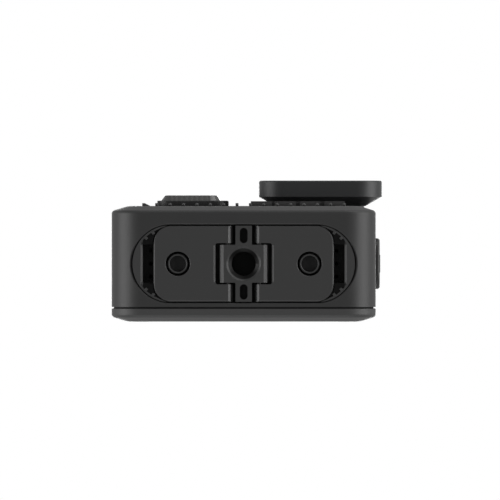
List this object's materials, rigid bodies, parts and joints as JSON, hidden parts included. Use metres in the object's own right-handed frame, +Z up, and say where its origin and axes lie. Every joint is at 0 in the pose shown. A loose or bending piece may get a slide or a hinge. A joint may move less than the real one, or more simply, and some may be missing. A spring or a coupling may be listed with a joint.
{
  "type": "action camera",
  "caption": "Small rectangular action camera with a square lens cover, front light, side door, buttons and fold-out mounting fingers around a tripod thread in its base.",
  "frame": {"origin": "tripod thread's axis where it meets the flat base", "axes": "+X to the right seen from the front, +Y to the rear, +Z up; the lens looks along -Y"},
  "size_m": [0.0572, 0.0299, 0.0479],
  "materials": {
    "housing": "fine matte soft-touch texture",
    "housing_rear": "fine matte texture",
    "front_panel": "fine matte texture",
    "lens_cover": "satin",
    "tray": "satin",
    "finger_metal": "smooth dark satin coat",
    "button": "satin",
    "dark_plastic": "satin",
    "gasket": "matte",
    "screen_glass": "polished, black printed behind",
    "display": "polished",
    "clear_glass": "polished, anti-reflection coat",
    "coated_glass": "polished, purple-green coat",
    "filter_glass": "polished, cyan tint",
    "sensor": "polished",
    "circuit_board": "solder mask",
    "chip": "moulded epoxy",
    "ribbon": "amber film",
    "copper": "rolled copper",
    "battery_wrap": "wrapped film",
    "diffuser": "smoked translucent",
    "emitter": "phosphor",
    "black_metal": "black anodised",
    "shield_steel": "stamped",
    "screw_steel": "dark plated",
    "thread_metal": "black plated"
  },
  "bodies": {
    "camera": {"main_housing": "housing", "rear_gasket": "gasket", "rear_cover": "housing_rear", "rear_screen_glass": "screen_glass", "rear_display": "display", "display_ribbon": "ribbon", "chassis_screws": "screw_steel", "front_panel": "front_panel", "lens_mount_ring": "black_metal", "lens_barrel": "black_metal", "front_lens": "coated_glass", "middle_lens": "coated_glass", "rear_lens": "coated_glass", "lens_retainer": "black_metal", "lens_holder": "dark_plastic", "infrared_filter": "filter_glass", "image_sensor": "sensor", "sensor_board": "circuit_board", "light_bezel": "dark_plastic", "light_diffuser": "diffuser", "light_board": "circuit_board", "light_emitters": "emitter", "status_light_pipe": "diffuser", "status_emitter": "emitter", "main_board": "circuit_board", "processor": "chip", "memory_chips": "chip", "shield_can": "shield_steel", "heat_spreader": "copper", "battery": "battery_wrap", "battery_ribbon": "ribbon", "speaker": "dark_plastic", "speaker_mesh": "shield_steel", "front_microphone": "shield_steel", "top_microphone": "shield_steel", "wireless_antenna": "ribbon", "usb_port": "shield_steel", "card_slot": "shield_steel", "memory_card": "chip", "shutter_seal": "gasket", "shutter_switch": "shield_steel", "mode_seal": "gasket", "mode_switch": "shield_steel", "door_hinge_pin": "screw_steel", "mount_tray": "tray", "hinge_block": "finger_metal", "thread_insert": "thread_metal", "hinge_pins": "black_metal"},
    "left_finger": {"left_finger": "finger_metal"},
    "right_finger": {"right_finger": "finger_metal"},
    "mode_button": {"mode_button": "button"},
    "shutter_button": {"shutter_button": "button"},
    "side_door": {"side_door": "housing", "door_gasket": "gasket"},
    "door_latch": {"door_latch": "button"},
    "lens_cover": {"lens_cover_frame": "lens_cover", "lens_cover_glass": "clear_glass", "lens_cover_seal": "gasket"}
  },
  "joints": [
    {"name": "left_finger_fold", "type": "hinge", "parent": "camera", "child": "left_finger", "pos_m": [-0.0032, 0, 0.0014], "axis": [0, -1, 0], "range_deg": [0, 90]},
    {"name": "right_finger_fold", "type": "hinge", "parent": "camera", "child": "right_finger", "pos_m": [0.0032, 0, 0.0014], "axis": [0, 1, 0], "range_deg": [0, 90]},
    {"name": "shutter_press", "type": "slide", "parent": "camera", "child": "shutter_button", "axis": [0, 0, -1], "range_m": [0, 0.0005], "stiffness_N_per_m": 4000, "springref_m": -0.0002},
    {"name": "mode_press", "type": "slide", "parent": "camera", "child": "mode_button", "axis": [-1, 0, 0], "range_m": [0, 0.0004], "stiffness_N_per_m": 4000, "springref_m": -0.0002},
    {"name": "side_door_swing", "type": "hinge", "parent": "camera", "child": "side_door", "pos_m": [-0.0272, 0, 0.0094], "axis": [0, -1, 0], "range_deg": [0, 90]},
    {"name": "door_latch_slide", "type": "slide", "parent": "side_door", "child": "door_latch", "axis": [0, 0, -1], "range_m": [0, 0.0012]},
    {"name": "lens_cover_twist", "type": "hinge", "parent": "camera", "child": "lens_cover", "pos_m": [0.0163, -0.01225, 0.0349], "axis": [0, -1, 0], "range_deg": [0, 45]}
  ]
}
